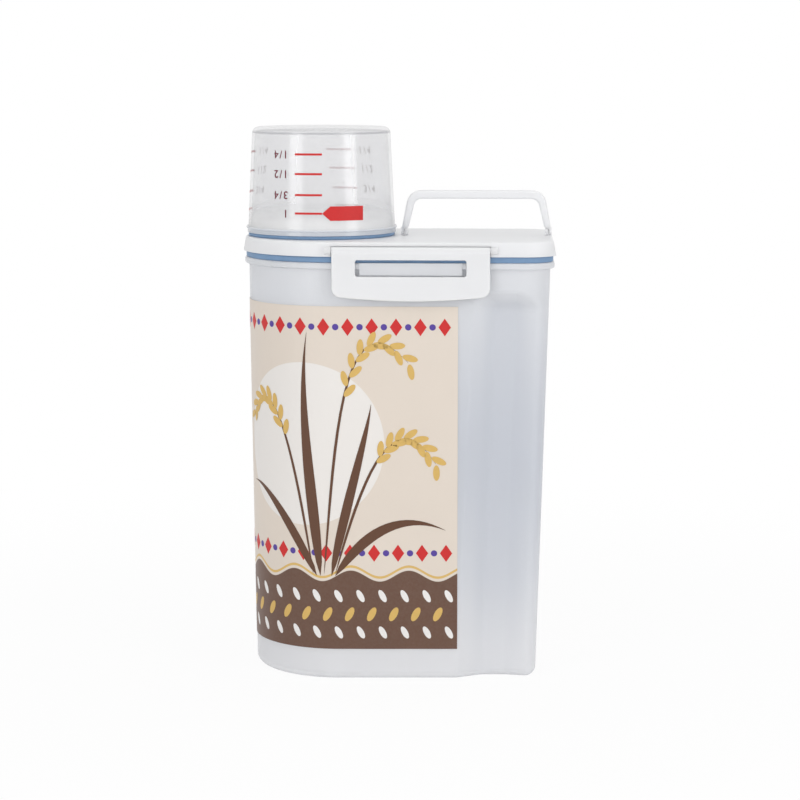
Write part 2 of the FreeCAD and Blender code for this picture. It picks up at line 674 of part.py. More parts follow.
def build_handle():
    """Bail handle: a bar on two leaning legs that narrow to round feet, with pins turned inwards."""
    body = new_body("handle")
    frame = new_sketch(body, "handle_front_view", "XZ_Plane")
    foot = "Dims.handle_pivot_z"
    under = "Dims.handle_top - Dims.handle_bar"
    outer_foot = "Dims.handle_half_width"
    outer_top = "Dims.handle_top_half_width"
    half = [
        (outer_foot, foot),
        (outer_top, "Dims.handle_top"),
        (f"({outer_top} - Dims.handle_leg)", under),
        (f"({outer_foot} - Dims.handle_leg)", foot),
    ]
    near = [(f"Dims.handle_x - {across}", along) for across, along in half]
    far = [(f"Dims.handle_x + {across}", along) for across, along in half]
    polygon(frame, [near[0], near[1], far[1], far[0], far[3], far[2], near[2], near[3]])
    extrude(body, "handle_frame", frame, "Dims.handle_depth", side="Symmetric")

    crown = value("Dims.handle_top")
    soffit = value(under)

    def across_bar(height):
        def wanted(edge):
            deep = spans(edge, "Y")[1] - spans(edge, "Y")[0]
            return level_edge(edge, height) and deep > 1 and spans(edge, "X")[1] - spans(edge, "X")[0] < 0.01

        return wanted

    round_edges(body, "handle_outer_corners", "Dims.handle_outer_rounding", across_bar(crown))
    round_edges(body, "handle_inner_corners", "Dims.handle_inner_rounding", across_bar(soffit))

    taper = new_sketch(body, "handle_end_view", "YZ_Plane", "Dims.handle_x")
    taper_outline(taper)
    narrowed = extrude(body, "handle_taper", taper, "3 * Dims.handle_half_width", cut=True, side="Symmetric")
    mirror_features(body, "handle_tapers", [narrowed])
    bottom = value(foot)
    shape = body.Tip.Shape
    round_edges(
        body,
        "handle_edges",
        "Dims.handle_edge_rounding",
        lambda edge: not level_edge(edge, bottom) and abs(middle(edge).y) > 0.5 and sharp(shape, edge),
    )

    cheek = f"({outer_foot} - Dims.handle_cheek)"
    for end, sign in (("near", "-"), ("far", "+")):
        lap = f"Dims.handle_x {sign} {cheek}"
        inwards = sign == "+"
        relief = new_sketch(body, f"{end}_relief_view", "YZ_Plane", lap)
        circle(relief, "0", foot, "Dims.handle_relief_radius")
        extrude(body, f"{end}_relief", relief, "2 * Dims.handle_leg", cut=True, flip=not inwards)
        boss = new_sketch(body, f"{end}_boss_view", "YZ_Plane", lap)
        circle(boss, "0", foot, "Dims.handle_foot_radius")
        extrude(body, f"{end}_boss", boss, "Dims.handle_cheek", flip=not inwards)
        pin = new_sketch(body, f"{end}_pin_view", "YZ_Plane", lap)
        circle(pin, "0", foot, "Dims.handle_pin_radius")
        extrude(body, f"{end}_pin", pin, "Dims.handle_leg - Dims.handle_cheek", flip=inwards)
    return body


def taper_outline(sketch):
    """End view of what narrows the handle's legs: an arc that leaves the face tangentially and runs in to
    the foot's radius, closed by straight edges outside."""
    drop = "(Dims.handle_depth / 2 - Dims.handle_foot_radius)"
    rise = "(Dims.handle_taper_top - Dims.handle_pivot_z)"
    radius = f"({rise} * {rise} + {drop} * {drop}) / (2 * {drop})"
    big = value(radius)
    top = value("Dims.handle_taper_top")
    foot = value("Dims.handle_pivot_z")
    below = value("Dims.handle_pivot_z - Dims.handle_foot_radius")
    half = value("Dims.handle_depth / 2")
    narrow = value("Dims.handle_foot_radius")
    outside = value("Dims.handle_depth")
    curve = Part.Circle(FreeCAD.Vector(half - big, top, 0), FreeCAD.Vector(0, 0, 1), big)
    start = FreeCAD.Vector(half, top, 0)
    end = FreeCAD.Vector(narrow, foot, 0)
    stops = [end, FreeCAD.Vector(narrow, below, 0), FreeCAD.Vector(outside, below, 0)]
    stops += [FreeCAD.Vector(outside, top, 0), start]
    sketch.addGeometry(Part.ArcOfCircle(curve, 2 * math.pi - math.asin((top - foot) / big), 2 * math.pi))
    for first, second in zip(stops, stops[1:]):
        sketch.addGeometry(Part.LineSegment(first, second))
    sketch.addConstraint(Sketcher.Constraint("Coincident", 0, 1, 1, 1))
    for edge in (1, 2, 3):
        sketch.addConstraint(Sketcher.Constraint("Coincident", edge, 2, edge + 1, 1))
    sketch.addConstraint(Sketcher.Constraint("Coincident", 4, 2, 0, 2))
    bind(sketch, Sketcher.Constraint("Radius", 0, big), radius)
    pin_point(sketch, 0, 1, "Dims.handle_foot_radius", "Dims.handle_pivot_z")
    pin_point(sketch, 0, 2, "Dims.handle_depth / 2", "Dims.handle_taper_top")
    pin_point(sketch, 2, 1, "Dims.handle_foot_radius", "Dims.handle_pivot_z - Dims.handle_foot_radius")
    pin_point(sketch, 3, 1, "Dims.handle_depth", "Dims.handle_pivot_z - Dims.handle_foot_radius")
    pin_point(sketch, 4, 1, "Dims.handle_depth", "Dims.handle_taper_top")


def build_label():
    """Sheet wrapped around the round front end, on the wall's draft, ending short of the grips."""
    body = new_body("label")
    outer = "Dims.label_gap + Dims.label_thickness"
    sections = []
    for end in ("bottom", "top"):
        plan = new_sketch(body, f"label_{end}_outer", level=f"Dims.label_{end}")
        bin_outline(plan, f"Dims.label_{end}", outer)
        sections.append(plan)
    loft(body, "label_outside", sections)
    sections = []
    for level in ("Dims.label_bottom - 1", "Dims.label_top + 1"):
        plan = new_sketch(body, f"label_inner_{len(sections)}", level=level)
        bin_outline(plan, level, "Dims.label_gap")
        sections.append(plan)
    loft(body, "label_inside", sections, cut=True)
    trim = new_sketch(body, "label_trim_plan", level="Dims.label_top")
    rectangle(trim, ("Dims.label_end", "-Dims.grip_outside"), ("Dims.grip_rear", "Dims.grip_outside"))
    extrude(body, "label_trim", trim, "Dims.label_top", cut=True)
    return body


def build():
    return [
        build_container(),
        build_label(),
        build_lid(),
        build_lid_gasket(),
        build_spout_gasket(),
        build_cup(),
        build_latch("front_latch", rear=False),
        build_latch("rear_latch", rear=True),
        build_handle(),
    ]


def write(parts):
    for item in doc.Objects:
        if "Invalid" in item.State or "Error" in item.State:
            raise RuntimeError(f"{item.Name} is {item.State}")
    os.makedirs("parts", exist_ok=True)
    for part in parts:
        shape = part.Shape
        if shape.isNull() or not shape.isValid():
            raise RuntimeError(f"{part.Label} has no valid shape")
        shape.exportStep(f"parts/{part.Label}.step")
        box = shape.optimalBoundingBox()
        print(part.Label, len(shape.Solids), round(shape.Volume / 1000, 2), box)


write(build())
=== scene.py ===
"""Rice storage bin: finishes, printed label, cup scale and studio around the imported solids."""

import math

import bmesh
import bpy
from mathutils import Matrix, Vector


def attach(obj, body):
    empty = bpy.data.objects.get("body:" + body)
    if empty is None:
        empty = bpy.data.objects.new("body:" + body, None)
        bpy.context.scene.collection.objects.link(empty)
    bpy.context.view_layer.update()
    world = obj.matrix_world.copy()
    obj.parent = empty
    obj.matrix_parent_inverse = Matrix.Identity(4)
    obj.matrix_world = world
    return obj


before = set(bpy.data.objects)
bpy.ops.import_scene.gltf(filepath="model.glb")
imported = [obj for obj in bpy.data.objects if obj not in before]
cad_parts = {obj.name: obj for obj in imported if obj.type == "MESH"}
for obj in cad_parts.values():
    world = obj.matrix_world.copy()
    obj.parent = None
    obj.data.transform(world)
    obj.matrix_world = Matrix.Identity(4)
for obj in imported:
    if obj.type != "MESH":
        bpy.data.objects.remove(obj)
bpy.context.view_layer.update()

bl_info = {
    "name": "Rice Storage Bin",
    "version": (1, 0, 0),
    "blender": (4, 5, 0),
    "location": "View3D > Sidebar > Rice Bin",
    "description": "Dresses the packed rice storage bin with its finishes, label and cup scale",
    "category": "Object",
}

MM = 0.001

# Plan of the container wall in millimetres: round end's centre and radius, rear end, half width there
FOOT_PLAN = (-31.6, 47.0, 75.2, 43.2)
MOUTH_PLAN = (-31.4, 50.0, 81.4, 50.0)
MOUTH_HEIGHT = 221.4

# Radius of the rear corners, and how fast the sides draw in towards the rear at the foot
CORNER = 14.0
FOOT_TAPER = 0.0355

# Prints in millimetres: lowest layer off the container, thickness, step between layers, welding distance
PRINT_LIFT = 0.31
PRINT_DEPTH = 0.04
LAYER = 0.05
WELD = 0.004

# Distances round the label: between its two prints, and to its middle on the round end
LABEL_REPEAT = -147.0
LABEL_MIDDLE = -77.2

# Ground of the label in millimetres: the moon's middle and soft edge, the waved edge and the line over it
MOON_PLACE = (-18.0, 128.0)
MOON_EDGE = (43.6, 44.0)
WAVE_PITCH = 31.0
WAVE_RISE = 3.0
LINE_RISE = 2.2

# Cup in millimetres: axis, then outer radius and height where its taper starts and ends
CUP_AXIS = -42.0
CUP_MOUTH = (39.85, 240.2)
CUP_END = (37.2, 294.4)

# Bounds in metres between which a painted tint fades: painted shade in the grip recess by depth and along
# the side, painted light at the foot by height
RECESS_DEPTH = (0.0015, 0.006)
RECESS_START = (0.02, 0.04)
RECESS_END = (0.062, 0.076)
FOOT_FADE = (0.004, 0.06)

# Bounds on the cup in metres: its rim, the haze over it, and the painted shade line round its base with that
# line's edge
CUP_RIM = (0.2404, 0.2414)
CUP_HAZE = (0.242, 0.255)
CUP_SHADE_LINE = 0.2916
CUP_SHADE_LINE_EDGE = (0.0002, 0.0008)

WHITE = (1.0, 1.0, 1.0, 1.0)


def settings():
    return bpy.context.scene.rice_bin


# Shader expressions


class Socket:
    """A shader socket that Python's operators turn into Math nodes."""

    def __init__(self, shader, link):
        self.shader = shader
        self.link = link

    def maths(self, operation, *operands):
        return self.shader.node("ShaderNodeMath", {"operation": operation}, dict(enumerate(operands)))

    def __add__(self, other):
        return self.maths("ADD", self, other)

    def __radd__(self, other):
        return self.maths("ADD", other, self)

    def __sub__(self, other):
        return self.maths("SUBTRACT", self, other)

    def __rsub__(self, other):
        return self.maths("SUBTRACT", other, self)

    def __mul__(self, other):
        return self.maths("MULTIPLY", self, other)

    def __truediv__(self, other):
        return self.maths("DIVIDE", self, other)

    def __abs__(self):
        return self.maths("ABSOLUTE", self)

    def wave(self):
        return self.maths("SINE", self)

    def side(self):
        return self.maths("SIGN", self)

    def power(self, other):
        return self.maths("POWER", self, other)

    def root(self):
        return self.maths("SQRT", self)

    def at_least(self, other):
        return self.maths("MAXIMUM", self, other)

    def angle_from(self, other):
        return self.maths("ARCTAN2", self, other)


class Nodes:
    """The nodes of one material or world, all made by one method."""

    def __init__(self, tree):
        self.tree = tree

    def feed(self, node, inputs):
        for key, amount in inputs.items():
            if isinstance(amount, Socket):
                self.tree.links.new(amount.link, node.inputs[key])
            else:
                node.inputs[key].default_value = amount

    def node(self, kind, choices=None, inputs=None, output=0):
        """Add a node: its settings first, then its sockets' values or links."""
        made = self.tree.nodes.new(kind)
        for key, choice in (choices or {}).items():
            setattr(made, key, choice)
        self.feed(made, inputs or {})
        return Socket(self, made.outputs[output])

    def seen(self):
        """One for the rays that meet the background as plain white, nothing for those that light a piece."""
        white = self.node("ShaderNodeLightPath", output="Is Camera Ray")
        outputs = white.link.node.outputs
        for ray in ("Is Glossy Ray", "Is Transmission Ray"):
            white = white.at_least(Socket(self, outputs[ray]))
        return white


class Finish(Nodes):
    """A material under construction: one Principled surface and the nodes that feed it."""

    def __init__(self, name, **constants):
        self.material = bpy.data.materials.new(name)
        self.material.use_nodes = True
        super().__init__(self.material.node_tree)
        self.surface = self.tree.nodes["Principled BSDF"]
        self.output = self.tree.nodes["Material Output"]
        self.paint(**constants)

    def place(self):
        """Position on the piece, as one vector and as its three coordinates in metres."""
        vector = self.node("ShaderNodeTexCoord", output="Object")
        across = self.node("ShaderNodeSeparateXYZ", inputs={"Vector": vector})
        outputs = across.link.node.outputs
        return vector, [Socket(self, outputs[axis]) for axis in range(3)]

    def stretched(self, vector, scale):
        return self.node("ShaderNodeMapping", inputs={"Vector": vector, "Scale": scale})

    def noise(self, vector, scale, detail=3.0, roughness=0.55):
        sockets = {"Vector": vector, "Scale": scale, "Detail": detail, "Roughness": roughness}
        return self.node("ShaderNodeTexNoise", inputs=sockets)

    def mix(self, factor, first, second):
        choices = {"data_type": "RGBA", "clamp_factor": True}
        return self.node("ShaderNodeMix", choices, {0: factor, 6: first, 7: second}, output=2)

    def smooth(self, amount, low, high):
        choices = {"interpolation_type": "SMOOTHSTEP"}
        return self.node("ShaderNodeMapRange", choices, {"Value": amount, "From Min": low, "From Max": high})

    def bump(self, height, strength, distance):
        sockets = {"Height": height, "Strength": strength, "Distance": distance}
        return self.node("ShaderNodeBump", inputs=sockets)

    def paint(self, **links):
        self.feed(self.surface, {label.replace("_", " "): amount for label, amount in links.items()})
        return self.material

    def blend(self, factor, kind, inputs):
        """Mix a share of another shader into what the output shows."""
        before = self.output.inputs["Surface"].links[0].from_socket
        other = self.node(kind, inputs=inputs)
        mixed = self.node("ShaderNodeMixShader", inputs={0: factor, 1: Socket(self, before), 2: other})
        self.tree.links.new(mixed.link, self.output.inputs["Surface"])
        return self.material


def shade(colour, factor):
    return tuple(min(channel * factor, 1.0) for channel in colour[:3]) + (1.0,)


def frosted_body():
    """Hazy translucent wall with a satin grain; its tint carries painted light and shade: a darker, bluer
    tint at mid-height and painted shade over the grip's hollow, painted light towards the top and the
    bottom.
    """
    look = Finish("frosted_body", IOR=1.49, Specular_IOR_Level=0.4)
    vector, (across, depth, height) = look.place()
    flow = look.noise(look.stretched(vector, (40.0, 40.0, 6.0)), 1.0)
    grain = look.noise(vector, 2600.0, detail=2.0)
    colour = settings().body_colour
    # Painted light and shade: a lighter copy of the tint towards the top and the bottom, a darker bluish
    # copy at mid-height, broken up by random flow
    middle = 0.12
    painted_light_ends = look.smooth(abs(height - middle), 0.0, middle)
    shaded_tint = tuple(channel * cast for channel, cast in zip(colour, (0.84, 0.865, 0.9))) + (1.0,)
    tint = look.mix(painted_light_ends * 0.85 + flow * 0.25, shaded_tint, shade(colour, 1.1))
    # Painted shade: a darker copy of the shaded tint over the grip recess, found from how far a point lies
    # inside the drafted wall's plan
    share = height / (MOUTH_HEIGHT * MM)
    radius = FOOT_PLAN[1] * MM + share * ((MOUTH_PLAN[1] - FOOT_PLAN[1]) * MM)
    wall = radius - (1.0 - share) * (across - FOOT_PLAN[0] * MM) * FOOT_TAPER
    recess_shade = look.smooth(wall - abs(depth), *RECESS_DEPTH) * look.smooth(across, *RECESS_START)
    recess_shade = recess_shade * (1.0 - look.smooth(across, *RECESS_END))
    tint = look.mix(recess_shade * 0.5, tint, shade(shaded_tint, 0.97))
    # Painted light: a paler tint towards the bottom of the wall
    foot_light = 1.0 - look.smooth(height, *FOOT_FADE)
    tint = look.mix(foot_light * 0.7, tint, (0.99, 0.99, 1.0, 1.0))
    look.paint(
        Base_Color=tint,
        Roughness=0.2 + flow * 0.08 + grain * 0.04,
        Normal=look.bump(grain, 0.06, 0.0001),
    )
    look.blend(settings().body_glow, "ShaderNodeBsdfTranslucent", {"Color": shade(colour, 1.0)})
    return look.blend(settings().body_clear, "ShaderNodeBsdfTransparent", {"Color": (0.97, 0.97, 0.98, 1.0)})


def white_plastic():
    """Moulded white that scatters light under a soft gloss, with a barely uneven surface."""
    look = Finish("white_plastic", IOR=1.47, Specular_IOR_Level=0.4)
    look.paint(Subsurface_Weight=0.5, Subsurface_Radius=(1.0, 1.0, 1.0), Subsurface_Scale=0.004)
    vector, _ = look.place()
    cloud = look.noise(vector, 55.0)
    grain = look.noise(vector, 1900.0, detail=2.0)
    colour = settings().white_colour
    return look.paint(
        Base_Color=look.mix(cloud, shade(colour, 0.985), shade(colour, 1.015)),
        Roughness=0.34 + cloud * 0.08 + grain * 0.05,
        Normal=look.bump(grain, 0.05, 0.0001),
    )


def seal_rubber():
    """Satin blue elastomer with a dusty bloom."""
    look = Finish("seal_rubber", IOR=1.5, Specular_IOR_Level=0.35)
    vector, _ = look.place()
    bloom = look.noise(vector, 120.0)
    grain = look.noise(vector, 2200.0, detail=2.0)
    colour = settings().seal_colour
    return look.paint(
        Base_Color=look.mix(bloom, shade(colour, 0.85), shade(colour, 1.2)),
        Roughness=0.45 + grain * 0.15,
        Normal=look.bump(grain, 0.1, 0.0001),
    )


def clear_cup():
    """Hazy clear plastic with a wavy, polished skin, denser at the mouth, and a dark line of painted shade
    round its closed end.
    """
    look = Finish("clear_cup", Specular_IOR_Level=0.0)
    vector, (_, _, height) = look.place()
    haze = look.noise(look.stretched(vector, (60.0, 60.0, 14.0)), 1.0)
    colour = settings().cup_colour
    tint = look.mix(haze, shade(colour, 0.97), shade(colour, 1.03))
    rim = 1.0 - look.smooth(height, *CUP_RIM)
    tint = look.mix(rim * 0.8, tint, (0.88, 0.93, 1.0, 1.0))
    # Painted shade: a dark line standing in for the shade at the edge of the cup's closed end, also made
    # less clear there
    base_shade_line = 1.0 - look.smooth(abs(height - CUP_SHADE_LINE), *CUP_SHADE_LINE_EDGE)
    tint = look.mix(base_shade_line, tint, (0.42, 0.42, 0.45, 1.0))
    mouth = (1.0 - rim) * (1.0 - look.smooth(height, *CUP_HAZE))
    look.paint(Base_Color=tint, Roughness=0.5)
    look.blend(0.35 - mouth * 0.3, "ShaderNodeBsdfTranslucent", {"Color": shade(colour, 1.0)})
    facing = look.node("ShaderNodeLayerWeight", inputs={"Blend": 0.5}, output="Facing")
    clear = settings().cup_clear - base_shade_line * 0.35 - rim * 0.4 - mouth * 0.4 + facing * facing * 0.25
    look.blend(clear, "ShaderNodeBsdfTransparent", {"Color": (0.985, 0.985, 0.99, 1.0)})
    skin = {"Roughness": 0.16, "Normal": look.bump(haze, 0.04, 0.0004)}
    return look.blend(0.075 + facing.power(4.0) * 0.45, "ShaderNodeBsdfGlossy", skin)


def along_wall(place):
    """Distance round the label in millimetres, counted from where the near side meets the round end."""
    across, depth, height = (axis / MM for axis in place)
    centre = FOOT_PLAN[0]
    slope = (MOUTH_PLAN[1] - FOOT_PLAN[1]) / MOUTH_HEIGHT
    radius = FOOT_PLAN[1] + height * slope
    straight = (across - centre).at_least(0.0) * (0.0 - depth).side()
    turn = (centre - across).at_least(0.0).angle_from(0.0 - depth)
    return straight - turn * radius, height


def label_film():
    """Cream film with a pale moon, and a brown field under a waved edge with a gold line along it."""
    look = Finish("label_film", IOR=1.5, Specular_IOR_Level=0.3, Coat_Weight=0.15, Coat_Roughness=0.3)
    vector, place = look.place()
    along, height = along_wall(place)
    fibre = look.noise(vector, 700.0)
    wash = look.noise(vector, 28.0)
    colours = settings()
    paper = look.mix(wash, shade(colours.cream_colour, 0.97), shade(colours.cream_colour, 1.03))
    for shift in (0.0, LABEL_REPEAT):
        aside = along - (MOON_PLACE[0] + shift)
        above = height - MOON_PLACE[1]
        distance = (aside * aside + above * above).root()
        moon = 1.0 - look.smooth(distance, *MOON_EDGE)
        paper = look.mix(moon * 0.8, paper, shade(colours.moon_colour, 1.0))
    edge = colours.wave_level / MM + (along * (math.tau / WAVE_PITCH)).wave() * WAVE_RISE
    below = 1.0 - look.smooth(height - edge, -0.15, 0.15)
    line = 1.0 - look.smooth(abs(height - edge - LINE_RISE), 0.55, 0.8)
    earth = look.mix(wash, shade(colours.earth_colour, 0.9), shade(colours.earth_colour, 1.1))
    printed = look.mix(below, look.mix(line, paper, shade(colours.gold_colour, 1.0)), earth)
    return look.paint(
        Base_Color=look.mix(fibre * 0.04, printed, WHITE),
        Roughness=0.42 + fibre * 0.12,
        Normal=look.bump(fibre, 0.04, 0.0001),
    )


def ink(name, colour):
    """One printed colour: slightly uneven cover with a dull sheen."""
    look = Finish(name, IOR=1.5, Specular_IOR_Level=0.3)
    vector, _ = look.place()
    cover = look.noise(vector, 420.0)
    return look.paint(
        Base_Color=look.mix(cover, shade(colour, 0.93), shade(colour, 1.07)),
        Roughness=0.42 + cover * 0.12,
    )


# Pieces


def dress(node, material):
    """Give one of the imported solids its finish."""
    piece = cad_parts[node]
    piece.data.materials.clear()
    piece.data.materials.append(material)


def add_piece(name, bm, material):
    """Object in the scene from a finished mesh and its one material."""
    mesh = bpy.data.meshes.new(name)
    bm.to_mesh(mesh)
    bm.free()
    mesh.materials.append(material)
    piece = bpy.data.objects.new(name, mesh)
    bpy.context.scene.collection.objects.link(piece)
    return piece


# Prints laid on curved walls


def wall_point(along, height, lift):
    """Point on the drafted container wall at a distance from where its near side meets the round end."""
    share = height / MOUTH_HEIGHT
    centre, radius, rear, half = (low + (high - low) * share for low, high in zip(FOOT_PLAN, MOUTH_PLAN))
    corner_x = rear - CORNER - centre
    corner_y = half - CORNER
    tilt = math.asin((radius - CORNER) / math.hypot(corner_x, corner_y)) - math.atan2(corner_y, corner_x)
    sweep = math.pi + 2 * tilt
    turn = 1.5 * math.pi + tilt - min(max(-along / radius, 0.0), sweep)
    past = max(along, 0.0) + min(along + sweep * radius, 0.0)
    point = Vector((math.cos(turn), math.sin(turn), 0.0)) * (radius + lift)
    point += Vector((-math.sin(turn), math.cos(turn), 0.0)) * past
    return (point + Vector((centre, 0.0, height))) * MM


def cup_point(along, height, lift):
    """Point on the tapering cup wall at a distance round it from the side that faces the front."""
    share = (height - CUP_MOUTH[1]) / (CUP_END[1] - CUP_MOUTH[1])
    radius = CUP_MOUTH[0] + (CUP_END[0] - CUP_MOUTH[0]) * share
    turn = along / radius - math.pi / 2
    spread = radius + lift
    return Vector((CUP_AXIS + spread * math.cos(turn), spread * math.sin(turn), height)) * MM


class Print:
    """Flat artwork in millimetres, cut into strips, given a thickness and laid on a curved wall."""

    def __init__(self, draw, shift):
        """Draw the artwork, then move it along the wall."""
        self.bm = bmesh.new()
        draw(self)
        bmesh.ops.translate(self.bm, verts=self.bm.verts[:], vec=(shift, 0.0, 0.0))

    def ellipse(self, centre, length, width, turn=0.0, segments=20):
        matrix = Matrix.Translation((*centre, 0.0)) @ Matrix.Rotation(turn, 4, "Z")
        matrix = matrix @ Matrix.Diagonal((length / 2, width / 2, 1.0, 1.0))
        bmesh.ops.create_circle(self.bm, cap_ends=True, segments=segments, radius=1.0, matrix=matrix)

    def bar(self, centre, width, height):
        matrix = Matrix.Translation((*centre, 0.0)) @ Matrix.Diagonal((width / 2, height / 2, 1.0, 1.0))
        bmesh.ops.create_grid(self.bm, x_segments=1, y_segments=1, size=1.0, matrix=matrix)

    def filled(self, curve, matrix=Matrix()):
        """Add a flat filled curve or text as a mesh."""
        holder = bpy.data.objects.new(curve.name, curve)
        mesh = bpy.data.meshes.new_from_object(holder)
        mesh.transform(matrix)
        self.bm.from_mesh(mesh)
        bpy.data.objects.remove(holder)
        bpy.data.curves.remove(curve)
        bpy.data.meshes.remove(mesh)

    def area(self, corners):
        curve = bpy.data.curves.new("area", "CURVE")
        curve.dimensions = "2D"
        curve.fill_mode = "BOTH"
        spline = curve.splines.new("POLY")
        spline.points.add(len(corners) - 1)
        for point, (across, up) in zip(spline.points, corners):
            point.co = (across, up, 0.0, 1.0)
        spline.use_cyclic_u = True
        self.filled(curve)

    def text(self, words, start, size, turn):
        curve = bpy.data.curves.new("numeral", "FONT")
        curve.body = words
        curve.size = size
        curve.align_x = "LEFT"
        curve.align_y = "CENTER"
        curve.resolution_u = 6
        curve.space_character = 1.25
        self.filled(curve, Matrix.Translation((*start, 0.0)) @ Matrix.Rotation(turn, 4, "Z"))

    def grow(self, amount):
        """Push the outline of the flat artwork outwards."""
        bm = self.bm
        bmesh.ops.remove_doubles(bm, verts=bm.verts[:], dist=WELD)
        bm.normal_update()
        pushes = {}
        for edge in bm.edges:
            if edge.is_boundary:
                loop = edge.link_loops[0]
                run = loop.link_loop_next.vert.co - loop.vert.co
                push = run.cross(loop.face.normal).normalized()
                for vertex in edge.verts:
                    pushes[vertex] = pushes.get(vertex, Vector()) + push
        for vertex, push in pushes.items():
            vertex.co += push.normalized() * amount

    def blade(self, stem, width):
        """Leaf along a curve: widest a third of the way up, pointed at both ends."""
        left = []
        right = []
        steps = 18
        tip = 0.05
        for step in range(steps + 1):
            share = step / steps
            point, heading = stem.at(share)
            half = width / 2 * math.sin(math.pi * share ** 0.6)
            aside = Vector((-heading.y, heading.x)) * max(half, tip)
            left.append(point + aside)
            right.append(point - aside)
        self.area([tuple(point) for point in left + right[::-1]])

    def lay(self, name, wall, body, finish, lift, strip=1.6):
        """Cut the artwork across its run, weld it, thicken it outwards and wrap it; then let it ride."""
        bm = self.bm
        low = min(vertex.co.x for vertex in bm.verts)
        high = max(vertex.co.x for vertex in bm.verts)
        for step in range(1, math.ceil((high - low) / strip)):
            parts = bm.verts[:] + bm.edges[:] + bm.faces[:]
            cut = (low + step * strip, 0.0, 0.0)
            bmesh.ops.bisect_plane(bm, geom=parts, dist=1e-6, plane_co=cut, plane_no=(1.0, 0.0, 0.0))
        bmesh.ops.remove_doubles(bm, verts=bm.verts[:], dist=WELD)
        bmesh.ops.dissolve_degenerate(bm, edges=bm.edges[:], dist=WELD)
        bm.normal_update()
        bmesh.ops.reverse_faces(bm, faces=[face for face in bm.faces if face.normal.z < 0.0])
        bmesh.ops.solidify(bm, geom=bm.faces[:], thickness=PRINT_DEPTH)
        if bm.calc_volume(signed=True) < 0.0:
            bmesh.ops.reverse_faces(bm, faces=bm.faces[:])
        bottom = min(vertex.co.z for vertex in bm.verts)
        for vertex in bm.verts:
            vertex.co = wall(vertex.co.x, vertex.co.y, vertex.co.z - bottom + lift)
        piece = add_piece(name, bm, finish)
        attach(piece, body)


class Stem:
    """Cubic curve in the plane of a print."""

    def __init__(self, *points):
        self.points = [Vector(point) for point in points]

    def at(self, share):
        """Point and unit direction at a share of the curve."""
        first, second, third, fourth = self.points
        rest = 1.0 - share
        point = first * rest ** 3 + second * 3 * rest ** 2 * share
        point += third * 3 * rest * share ** 2 + fourth * share ** 3
        heading = (second - first) * rest ** 2 + (third - second) * 2 * rest * share
        heading += (fourth - third) * share ** 2
        return point, heading.normalized()


# Stage


class RICEBIN_OT_stage(bpy.types.Operator):
    """Floor, backdrop light, lamps and the camera of the product shot"""

    bl_idname = "ricebin.stage"
    bl_label = "Studio"

    # Each lamp's name, place, width and height, share of the lamp power, and whether reflections show it
    LAMPS = (
        ("left_lamp", (-0.94, -1.17, 0.75), (0.62, 1.6), 0.65, True),
        ("right_lamp", (1.17, -0.94, 0.75), (0.58, 1.6), 0.76, True),
        ("front_lamp", (0.05, -1.7, 0.5), (0.5, 0.5), 0.42, False),
        ("top_lamp", (0.1, 0.3, 1.6), (1.4, 1.0), 0.54, True),
    )
    LAMP_AIM = (0.0, 0.0, 0.16)

    # Camera: place in metres, tilt and turn in degrees, lens in millimetres
    CAMERA_PLACE = (0.0523, -1.289, 0.3305)
    CAMERA_TILT = 8.17
    CAMERA_TURN = 2.3
    CAMERA_LENS = 106.9

    def execute(self, context):
        self.floor()
        self.world(context.scene)
        for name, place, size, share, reflected in self.LAMPS:
            lamp = self.lamp(name, place, size, settings().lamp_power * share)
            lamp.visible_glossy = reflected
        self.camera(context.scene)
        return {"FINISHED"}

    def floor(self):
        bm = bmesh.new()
        bmesh.ops.create_grid(bm, x_segments=1, y_segments=1, size=12.0)
        look = Finish("pale_floor", Roughness=0.9, Specular_IOR_Level=0.0)
        vector, (across, depth, _) = look.place()
        tone = look.noise(vector, 3.0)
        look.paint(Base_Color=look.mix(tone, (0.93, 0.93, 0.93, 1.0), (0.95, 0.95, 0.95, 1.0)))
        distance = (across * across + depth * depth).root()
        share = 0.93 + look.smooth(distance, 0.1, 0.6) * 0.07
        finish = look.blend(look.seen() * share, "ShaderNodeEmission", {"Color": WHITE, "Strength": 1.0})
        floor = add_piece("floor", bm, finish)

    def world(self, scene):
        world = bpy.data.worlds.new("studio")
        world.use_nodes = True
        scene.world = world
        ambient = settings().ambient
        sky = Nodes(world.node_tree)
        strength = sky.seen() * (1.0 - ambient) + ambient
        sky.feed(sky.tree.nodes["Background"], {"Color": WHITE, "Strength": strength})
        scene.view_settings.view_transform = "Standard"

    def lamp(self, name, place, size, power):
        data = bpy.data.lights.new(name, "AREA")
        data.shape = "RECTANGLE"
        data.size, data.size_y = size
        data.energy = power
        lamp = bpy.data.objects.new(name, data)
        lamp.location = place
        aim = Vector(self.LAMP_AIM) - Vector(place)
        lamp.rotation_euler = aim.to_track_quat("-Z", "Y").to_euler()
        bpy.context.scene.collection.objects.link(lamp)
        return lamp

    def camera(self, scene):
        data = bpy.data.cameras.new("camera")
        data.sensor_width = 36.0
        data.lens = self.CAMERA_LENS
        data.clip_end = 50.0
        camera = bpy.data.objects.new("camera", data)
        camera.location = self.CAMERA_PLACE
        camera.rotation_euler = (math.radians(90 - self.CAMERA_TILT), 0.0, math.radians(self.CAMERA_TURN))
        scene.collection.objects.link(camera)
        scene.camera = camera


# Operators, one for each piece or group


class RICEBIN_OT_container(bpy.types.Operator):
    """Container in hazy translucent plastic"""

    bl_idname = "ricebin.container"
    bl_label = "Container"

    def execute(self, context):
        dress("container", frosted_body())
        return {"FINISHED"}


def evenly(count, pitch):
    """Places of a row of marks about its middle."""
    return [(step - (count - 1) / 2) * pitch for step in range(count)]


